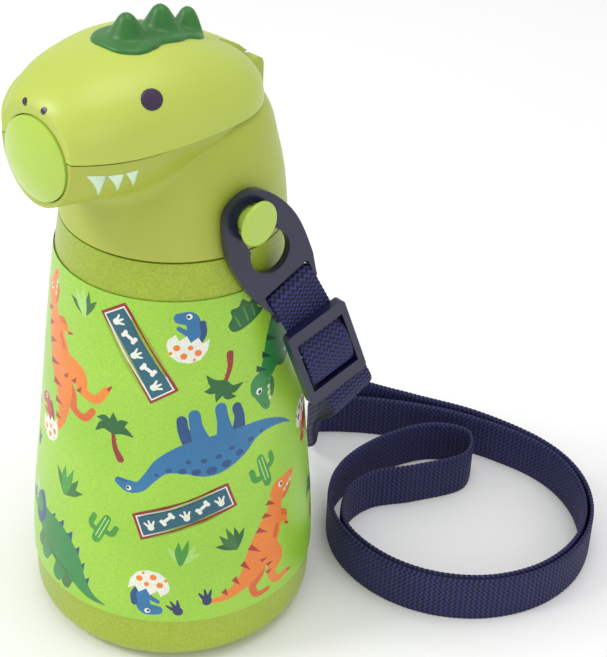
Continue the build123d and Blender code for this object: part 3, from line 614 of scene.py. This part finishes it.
def film_outlines(rows, radii, low, high):
    """Every drawing's outlines on the rolled-out film, with the ink of each."""
    outlines, inks = [], []
    # both halves, and again a full turn either way for what reaches over the seam
    for start in (0, 180, 360, -180, -360):
        for parts, bearing, height, turn, size, flip in PRINT_HALF:
            middle = radians(bearing + start) - FILM_MIDDLE
            if abs(middle) > pi + SEAM_REACH:
                continue
            wide = FILM_RADIUS / (np.interp(height * MM, rows, radii) / MM)
            c, s = cos(radians(turn)), sin(radians(turn))
            for ink, outline in parts:
                points = []
                for x, y in outline:
                    x = -x if flip else x
                    u, v = size * (c * x - s * y), size * (s * x + c * y)
                    points.append((middle * FILM_RADIUS + u * wide, min(max(height + v, low), high)))
                outlines.append(points)
                inks.append(INK_NAMES.index(ink))
    return outlines, inks


def build_print():
    """The printed film: one thin sleeve, every drawing its own area of the mesh with its own ink."""
    rows, radii = wall_rows("print_wrap")
    low, high = rows[0] / MM + 0.001, rows[-1] / MM - 0.001
    outlines, inks = film_outlines(rows, radii, low + 0.05, high - 0.05)
    half = pi * FILM_RADIUS
    across = [-half + 2 * half * i / FILM_COLUMNS for i in range(FILM_COLUMNS + 1)]
    upward = [low + (high - low) * j / FILM_LEVELS for j in range(FILM_LEVELS + 1)]
    border = [(x, low) for x in across] + [(half, y) for y in upward[1:-1]]
    border += [(x, high) for x in reversed(across)] + [(-half, y) for y in reversed(upward[1:-1])]
    grid = [(x, y) for x in across[1:-1] for y in upward[1:-1]]
    verts2d, tris, owners = triangulate(outlines, grid, border)

    def on_wall(proud):
        def place(v):
            angle = v[0] / FILM_RADIUS + FILM_MIDDLE
            radius = np.interp(v[1] * MM, rows, radii) + proud * MM
            return (radius * sin(angle), -radius * cos(angle), v[1] * MM)
        return place

    verts, faces = closed_skin(verts2d, tris, on_wall(FILM_TOP), on_wall(FILM_UNDERSIDE))
    slots = [0 if owner < 0 else inks[owner] for owner in owners]
    slots = slots + slots + [0] * (len(faces) - 2 * len(slots))
    materials = [film_ink("ink_" + name, *INKS[name]) for name in INK_NAMES]
    sleeve = make_object("printed_film", verts, faces, materials, slots)
    weld(sleeve)
    shade_as_wall(sleeve, rows, radii)
    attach(sleeve, "bottle")
    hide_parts("print_wrap")


def shade_as_wall(sleeve, rows, radii):
    """Normals of the smooth wall, so that the sleeve's thin triangles do not show in the shading."""
    heights = np.linspace(rows[0], rows[-1], 200)
    slope = np.gradient(np.interp(heights, rows, radii), heights)
    co = np.array([v.co for v in sleeve.data.vertices])
    flat = np.hypot(co[:, 0], co[:, 1])
    normals = np.stack([co[:, 0] / flat, co[:, 1] / flat, -np.interp(co[:, 2], heights, slope)], 1)
    underside = flat < np.interp(co[:, 2], rows, radii) + (FILM_TOP + FILM_UNDERSIDE) / 2 * MM
    normals[underside] *= -1
    normals /= np.linalg.norm(normals, axis=1)[:, None]
    sleeve.data.normals_split_custom_set_from_vertices([tuple(n) for n in normals])


def weld(thing):
    """Join the two edges where a wrapped sheet meets itself, and drop the walls left inside."""
    bm = bmesh.new()
    bm.from_mesh(thing.data)
    bmesh.ops.remove_doubles(bm, verts=bm.verts, dist=0.002 * MM)
    doubled = [f for f in bm.faces if any(len(e.link_faces) > 2 for e in f.edges) and len(f.verts) == 4]
    bmesh.ops.delete(bm, geom=doubled, context="FACES_ONLY")
    bmesh.ops.triangulate(bm, faces=[f for f in bm.faces if len(f.verts) > 3])
    bm.to_mesh(thing.data)
    bm.free()


# ------------------------------------------------------------------ face: eyes, nostrils, teeth
PAINT_PROUD = 0.12
PAINT_SUNK = 0.1


def surface_tree(node):
    """Search tree over a CAD node's own faces."""
    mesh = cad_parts[node].data
    return BVHTree.FromPolygons([v.co.copy() for v in mesh.vertices], [tuple(p.vertices) for p in mesh.polygons])


def face_outwards(thing):
    bm = bmesh.new()
    bm.from_mesh(thing.data)
    bmesh.ops.recalc_face_normals(bm, faces=bm.faces)
    bm.to_mesh(thing.data)
    bm.free()


def decal(name, tree, outline, place, looks, material, body, pitch=0.6):
    """Thin painted patch: place() puts the flat outline (mm) in space, and it is laid on the surface along looks."""
    (x0, y0), (x1, y1) = np.min(outline, 0), np.max(outline, 0)
    grid = [(x, y) for x in np.arange(x0 + pitch / 2, x1, pitch) for y in np.arange(y0, y1, pitch)]
    verts2d, tris, _ = triangulate([], grid, outline)
    looks = Vector(looks).normalized()

    def lay(lift):
        def on_surface(v):
            start = place(v)
            hit, normal, _, _ = tree.ray_cast(start - looks * 0.05, looks)
            if normal.dot(looks) > 0:
                normal = -normal
            return hit + normal * lift * MM
        return on_surface

    verts, faces = closed_skin(verts2d, tris, lay(PAINT_PROUD), lay(-PAINT_SUNK))
    patch = make_object(name, verts, faces, [material])
    face_outwards(patch)
    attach(patch, body)


EYE = (19.1, -25.7, 177.5)
EYE_R = 3.1
NOSTRIL = (3.5, -46.0, 175.5)
JAW_OUTSIDE = 40.0
# (y, z) of each tooth's front and back corner at the mouth line, and of its tip
TEETH = [((-43.9, 161.7), (-40.0, 161.4), (-39.7, 154.2)),
         ((-39.7, 161.3), (-35.9, 161.2), (-35.5, 154.9)),
         ((-35.6, 161.3), (-32.4, 161.5), (-31.8, 155.4))]
TOOTH_HOLLOW = 0.175
TOOTH_STEPS = 6


def tooth_outline(front, back, tip):
    """Tooth with a straight upper edge; its two sides bow in towards the middle."""
    middle = np.mean((front, back, tip), axis=0)
    outline = []
    for start, end, hollow in ((front, back, 0), (back, tip, TOOTH_HOLLOW), (tip, front, TOOTH_HOLLOW)):
        for j in range(TOOTH_STEPS):
            t = j / TOOTH_STEPS
            point = np.array(start) * (1 - t) + np.array(end) * t
            outline.append(tuple(point + (middle - point) * hollow * sin(pi * t)))
    return outline


def build_face():
    """Painted eyes and nostrils on the hood, painted teeth on the jaw."""
    hood, jaw = surface_tree("lid_shell"), surface_tree("jaw_shell")
    for side, label in ((1, "left"), (-1, "right")):
        def at_eye(v):
            return Vector((side * EYE[0], EYE[1] + v[0], EYE[2] + v[1] * 0.92)) * MM

        def at_nostril(v):
            return Vector((side * NOSTRIL[0] + v[0], NOSTRIL[1], NOSTRIL[2] + v[1])) * MM

        def at_jaw(v):
            return Vector((side * JAW_OUTSIDE, v[0], v[1])) * MM

        decal(f"eye_{label}", hood, oval(0, 0, EYE_R, EYE_R * 1.02), at_eye, (-side, 0.15, -0.45),
              eye_paint, "lid")
        decal(f"nostril_{label}", hood, oval(0, 0, 0.85, 1.15, -20 * side), at_nostril, (0, 1, -0.6),
              eye_paint, "lid", pitch=0.3)
        for k, corners in enumerate(TEETH):
            decal(f"tooth_{label}_{k + 1}", jaw, tooth_outline(*corners), at_jaw, (-side, 0, 0),
                  tooth_paint, "cap")


# ------------------------------------------------------------------ crest
CREST_FRONT = (0, -24.2)
CREST_BACK = (0, 8.0)
CREST_SIDE = [(5.4, -23.4), (8.8, -19.6), (9.0, -14.6), (8.0, -11.2), (8.3, -5.4), (7.3, -1.4), (7.3, 3.0),
              (4.4, 6.8)]
CREST_OTHER_SIDE = [(-x, y) for x, y in reversed(CREST_SIDE)]
# each spike's y, the height of its tip, and its size
SPIKES = [(-16.2, 191.4, 1.0), (-4.6, 190.4, 1.0), (5.0, 187.0, 0.86)]
# a spike's profile: how far it has dropped below its tip at each radius
SPIKE_RADII = [0, 1.0, 2.0, 3.6, 5.2, 7.0, 8.4]
SPIKE_DROPS = [0, 0.28, 1.1, 3.8, 6.6, 9.4, 12.5]
SPIKE_REACH = 11
SKIRT_T = 1.1
SKIRT_SUNK = 0.1
ROLLED_EDGE = 1.1
SPIKE_EDGE = 0.9
VALLEY = 0.8
CREST_PITCH = 0.42
CREST_UNDERSIDE = 0.15
ABOVE_HOOD = 250


def build_crest():
    """Soft crest: a thin skirt with a rolled edge and three full spikes that run into each other."""
    hood = surface_tree("lid_shell")
    outline = blob(CREST_FRONT, *CREST_SIDE, CREST_BACK, *CREST_OTHER_SIDE)
    grid = [(x, y) for x in np.arange(-10.2, 10.3, CREST_PITCH) for y in np.arange(-26.4, 8.2, CREST_PITCH)]
    verts2d, tris, _ = triangulate([], grid, outline)
    edge = np.array(outline)
    step = np.roll(edge, -1, axis=0) - edge

    def inset(p):
        """Distance in from the outline."""
        t = np.clip(((p - edge) * step).sum(1) / (step ** 2).sum(1), 0, 1)
        return np.hypot(*(p - edge - step * t[:, None]).T).min()

    def hood_height(p):
        return hood.ray_cast(Vector((p[0], p[1], ABOVE_HOOD)) * MM, Vector((0, 0, -1)))[0].z / MM

    def top(v):
        x, y = v
        ground = hood_height(v)
        edge_gap = inset(np.array((x, y)))
        roll = min(edge_gap / ROLLED_EDGE, 1.0)
        skirt = ground - SKIRT_SUNK + SKIRT_T * sqrt(max(1 - (1 - roll) ** 2, 0))
        height = skirt
        for spike_y, tip, size in SPIKES:
            reach = np.hypot(x * 0.94, y - spike_y - 0.05 * abs(x)) / size
            if reach >= SPIKE_REACH:
                continue
            spike = tip - np.interp(reach, SPIKE_RADII, SPIKE_DROPS) * size
            if spike > ground - 6:
                meeting = max(VALLEY - abs(height - spike), 0) / VALLEY
                height = max(height, spike) + meeting * meeting * VALLEY * 0.25
        height = skirt + (height - skirt) * min(1.0, edge_gap / SPIKE_EDGE)
        return Vector((x, y, height)) * MM

    def bottom(v):
        return Vector((v[0], v[1], hood_height(v) - CREST_UNDERSIDE)) * MM

    verts, faces = closed_skin(verts2d, tris, top, bottom)
    crest = make_object("soft_crest", verts, faces, [crest_rubber])
    smooth_top = crest.modifiers.new("soften", "SMOOTH")
    smooth_top.factor = 0.5
    smooth_top.iterations = 3
    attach(crest, "lid")
    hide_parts("spike_crest")


# ------------------------------------------------------------------ webbing
# the left hook's own directions, as in the CAD: out of its face, down its length, and across it
HOOK_ORIGIN = np.array((34.3, -3.4, 139.25))
HOOK_NORMAL = np.array((0.9759, -0.1952, 0.0976))
HOOK_DOWN = np.array((0.1736, 0.4235, -0.8891))
HOOK_SIDE = np.cross(HOOK_NORMAL, HOOK_DOWN)
MIRRORED = np.array((-1, 1, 1))
WEB_HALF_W = 7.5
WEB_HALF_T = 0.6
WEB_PITCH = 0.4
# height of the webbing's centre line where it stands on edge on the table
COIL_Z = 7.65
COIL_CENTRE = (50, 79)
COIL_OUTER_R = 42.3
COIL_INNER_R = 40.2
COIL_TURNS = [85, 60, 35, 10, -15, -40, -65, -90, -115]


def at_hook(down, off, mirror=False):
    """Point near the left hook, or near the right one when mirrored."""
    point = HOOK_ORIGIN + HOOK_DOWN * down + HOOK_NORMAL * off
    return point * MIRRORED if mirror else point


def on_coil(angle, radius):
    x, y = COIL_CENTRE
    return np.array((x + radius * cos(radians(angle)), y + radius * sin(radians(angle)), COIL_Z))


def hook_loop(mirror):
    """Webbing centre line from its tail on the back, round the hook's bar, to the front layer."""
    bar, loop_r, middle = 23.9, 1.9, -1.2
    run = [at_hook(d, middle - loop_r, mirror) for d in (32.0, 29.5, 27.0, 24.6)]
    run += [at_hook(bar - loop_r * sin(radians(a)), middle - loop_r * cos(radians(a)), mirror)
            for a in (20, 55, 90, 125, 160)]
    run += [at_hook(d, middle + loop_r, mirror) for d in (24.8, 27.4, 30.0, 33.0)]
    return run


def strap_knots():
    """From the right hook down behind the bottle, out round the coil, back inside it, up to the left hook."""
    z = COIL_Z
    run = hook_loop(True)
    run += [(-43, 22, 84), (-38, 55, 50), (-27, 82, 25), (-13, 97, 12.5), (4, 109.5, z + 0.4), (27, 118.5, z)]
    run += [on_coil(a, COIL_OUTER_R) for a in COIL_TURNS]
    run += [(19.5, 50.5, z), (12.8, 64, z), (12.5, 83, z), (20, 102, z), (31, 107.5, z), (38, 98, z),
            (31, 80.5, z), (23, 67, z), (23.5, 54.5, z)]
    run += [on_coil(a, COIL_INNER_R) for a in reversed(COIL_TURNS)]
    run += [(28, 115.2, z), (8, 106.2, z), (-9, 94.5, z), (-17.5, 84.5, z + 0.4), (-13.5, 77.0, z + 2.4),
            (0, 66, 25), (22, 45, 53)]
    run += [at_hook(68, 0.1), *[at_hook(d, 0.7) for d in (61, 54, 47, 40)]]
    return run + hook_loop(False)[::-1]


def rounded_path(knots):
    """Centripetal Catmull-Rom through the knots, resampled evenly: the points and their distance along."""
    knots = [np.array(k, float) for k in knots]
    knots = [2 * knots[0] - knots[1], *knots, 2 * knots[-1] - knots[-2]]
    out = []
    for a, b, c, d in zip(knots, knots[1:], knots[2:], knots[3:]):
        t0 = 0.0
        t1 = t0 + np.linalg.norm(b - a) ** 0.5
        t2 = t1 + np.linalg.norm(c - b) ** 0.5
        t3 = t2 + np.linalg.norm(d - c) ** 0.5
        for t in np.linspace(t1, t2, 40, endpoint=False):
            p1 = (t1 - t) / (t1 - t0) * a + (t - t0) / (t1 - t0) * b
            p2 = (t2 - t) / (t2 - t1) * b + (t - t1) / (t2 - t1) * c
            p3 = (t3 - t) / (t3 - t2) * c + (t - t2) / (t3 - t2) * d
            q1 = (t2 - t) / (t2 - t0) * p1 + (t - t0) / (t2 - t0) * p2
            q2 = (t3 - t) / (t3 - t1) * p2 + (t - t1) / (t3 - t1) * p3
            out.append((t2 - t) / (t2 - t1) * q1 + (t - t1) / (t2 - t1) * q2)
    out.append(knots[-2])
    out = np.array(out)
    length = np.concatenate([[0], np.cumsum(np.linalg.norm(np.diff(out, axis=0), axis=1))])
    places = np.linspace(0, length[-1], int(length[-1] / WEB_PITCH) + 1)
    return np.stack([np.interp(places, length, out[:, k]) for k in range(3)], 1), places


WEB_COLUMNS = 11
RIB_RISE = 0.16
SCALLOP = 0.12
SELVEDGE_T = 0.72


def sweep_web(name, path, places, across):
    """Closed ribbon along the path: ribs across it, scalloped selvedges, UV in metres for the weave."""
    ahead = np.gradient(path, axis=0)
    ahead /= np.linalg.norm(ahead, axis=1)[:, None]
    across = across - ahead * (across * ahead).sum(1)[:, None]
    across /= np.linalg.norm(across, axis=1)[:, None]
    off = np.cross(ahead, across)
    shares = np.linspace(-1, 1, WEB_COLUMNS)
    ring = [(u, 1) for u in shares] + [(-u, -1) for u in shares]
    verts, uvs = [], []
    for i, place in enumerate(places):
        rib = abs(sin(pi * place / WEB_RIB))
        half_w = WEB_HALF_W - 0.1 + SCALLOP * rib
        half_t = WEB_HALF_T - 0.09 + RIB_RISE * rib
        for u, face in ring:
            height = half_t * face * (SELVEDGE_T if abs(u) > 0.99 else 1)
            verts.append((path[i] + across[i] * u * half_w + off[i] * height) * MM)
            uvs.append((place * MM, u * half_w * MM))
    size, last = len(ring), (len(places) - 1) * len(ring)
    faces = []
    for row in range(0, last, size):
        for k in range(size):
            a, b = row + k, row + (k + 1) % size
            faces.append((a, b, b + size, a + size))
    for k in range(WEB_COLUMNS - 1):
        end = (k, size - 1 - k, size - 2 - k, k + 1)
        faces += [end, tuple(last + i for i in reversed(end))]
    ribbon = make_object(name, verts, faces, [webbing])
    layer = ribbon.data.uv_layers.new(name="along_across")
    for loop in ribbon.data.loops:
        layer.data[loop.index].uv = uvs[loop.vertex_index]
    face_outwards(ribbon)
    return ribbon


def build_strap():
    """The strap's webbing: on edge on the table, turning to lie flat against the hooks as it rises."""
    on_edge_below, flat_above = 9, 69
    path, places = rounded_path(strap_knots())
    lift = np.clip((path[:, 2:3] - on_edge_below) / (flat_above - on_edge_below), 0, 1)
    side = np.where(path[:, 0:1] > 0, HOOK_SIDE, HOOK_SIDE * MIRRORED)
    across = side * lift + np.array((0, 0, 1)) * (1 - lift)
    strap = sweep_web("woven_strap", path, places, across)
    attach(strap, "strap")
    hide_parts("strap_webbing")


# the adjuster's place on the left strap, and the hump of webbing over its bar as (along, out) pairs
ADJUSTER_DOWN = 46.4
ADJUSTER_SIDE = -1.6
ADJUSTER_TURN = -8.0
HUMP = [(-7.7, 2.0), (-6.6, 2.5), (-3.4, 4.0), (0, 4.5), (3.4, 4.1), (6.4, 3.1), (7.7, 2.0)]


def build_adjuster_wrap():
    """Where the webbing comes up through the adjuster, over its centre bar and down again."""
    turn = radians(ADJUSTER_TURN)
    along = HOOK_DOWN * cos(turn) + HOOK_SIDE * sin(turn)
    across = HOOK_SIDE * cos(turn) - HOOK_DOWN * sin(turn)
    centre = HOOK_ORIGIN + HOOK_DOWN * ADJUSTER_DOWN + HOOK_SIDE * ADJUSTER_SIDE
    path, places = rounded_path([centre + along * u + HOOK_NORMAL * rise for u, rise in HUMP])
    wrap = sweep_web("adjuster_hump", path, places, np.tile(across, (len(path), 1)))
    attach(wrap, "adjuster")
    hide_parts("adjuster_wrap")


def build_button_spring():
    """Return spring behind the snout button, built as a fixed coil; the real one shortens as the button is pushed in.
    """
    coil_r, wire_r, turns, steps, sides = 2.6, 0.3, 4.0, 160, 10
    front, back, height = -36.2, -31.4, 161.7
    verts, faces = [], []
    for i in range(steps + 1):
        angle = 2 * pi * turns * i / steps
        middle = front + (back - front) * i / steps
        for k in range(sides):
            out, lean = wire_r * cos(2 * pi * k / sides), wire_r * sin(2 * pi * k / sides)
            x, z = (coil_r + out) * cos(angle), (coil_r + out) * sin(angle)
            verts.append((x * MM, (middle + lean) * MM, (height + z) * MM))
    last = steps * sides
    for row in range(0, last, sides):
        for k in range(sides):
            a, b = row + k, row + (k + 1) % sides
            faces.append((a, a + sides, b + sides, b))
    faces += [tuple(range(sides)), tuple(last + k for k in reversed(range(sides)))]
    spring = make_object("return_spring", verts, faces, [pin_steel])
    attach(spring, "cap")
    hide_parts("button_spring")
    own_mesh(spring)


def soften_edges(node, width):
    """Moulding radius on a CAD part's sharp edges."""
    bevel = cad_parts[node].modifiers.new("moulding_radius", "BEVEL")
    bevel.width = width * MM
    bevel.segments = 3
    bevel.limit_method = "ANGLE"
    bevel.angle_limit = radians(40)
    bevel.harden_normals = True


build_print()
build_face()
build_crest()
build_strap()
build_adjuster_wrap()
build_button_spring()
for node, width in (("strap_hook_left", 0.7), ("strap_hook_right", 0.7), ("strap_adjuster", 0.6)):
    soften_edges(node, width)


# ------------------------------------------------------------------ stage, lights, camera
def add_floor():
    """One large sheet of plain pale card."""
    half = 3.0
    mesh = bpy.data.meshes.new("floor")
    mesh.from_pydata([(-half, -half, 0), (half, -half, 0), (half, half, 0), (-half, half, 0)], [], [(0, 1, 2, 3)])
    floor = bpy.data.objects.new("floor", mesh)
    bpy.context.scene.collection.objects.link(floor)
    n = Nodes("floor_card")
    n.set(Base_Color=n.ramp(n.noise(3, 2), [(0.3, grey(0.94)), (0.7, grey(0.96))]), Roughness=0.9)
    mesh.materials.append(n.material)


def add_area_light(name, place, target, size, power):
    light = bpy.data.lights.new(name, "AREA")
    light.shape = "DISK"
    light.size = size
    light.energy = power
    holder = bpy.data.objects.new(name, light)
    holder.location = place
    holder.rotation_euler = (Vector(target) - Vector(place)).to_track_quat("-Z", "Y").to_euler()
    bpy.context.scene.collection.objects.link(holder)


def add_lights():
    """White surroundings, a key light from the front left, a soft top light and a weak fill from the right."""
    world = bpy.data.worlds.new("studio")
    world.use_nodes = True
    background = world.node_tree.nodes["Background"]
    background.inputs["Color"].default_value = grey(1)
    background.inputs["Strength"].default_value = 0.70
    bpy.context.scene.world = world
    middle = (0, 0, 0.10)
    add_area_light("key", (-0.55, -0.75, 0.95), middle, size=0.42, power=5.6)
    add_area_light("top", (0.1, 0.1, 1.1), middle, size=0.7, power=3.0)
    add_area_light("fill", (0.9, -0.6, 0.5), middle, size=0.6, power=1.2)


CAMERA_PLACE = (0.3048, -0.2938, 0.3679)
CAMERA_BEARING = radians(41.04)
CAMERA_RISE = radians(33.15)
CAMERA_ROLL = radians(2.74)


def add_camera():
    """Three-quarter view from the left, well above the table, with a fairly long lens and a slight roll."""
    camera = bpy.data.cameras.new("camera")
    camera.sensor_width = 36.0
    camera.lens = 97.16
    camera.clip_start = 0.01
    holder = bpy.data.objects.new("camera", camera)
    swing = Matrix.Rotation(CAMERA_BEARING, 4, "Z")
    tilt = Matrix.Rotation(pi / 2 - CAMERA_RISE, 4, "X")
    roll = Matrix.Rotation(CAMERA_ROLL, 4, "Z")
    holder.matrix_world = Matrix.Translation(CAMERA_PLACE) @ swing @ tilt @ roll
    bpy.context.scene.collection.objects.link(holder)
    bpy.context.scene.camera = holder


add_floor()
add_lights()
add_camera()
bpy.context.scene.view_settings.view_transform = "Standard"
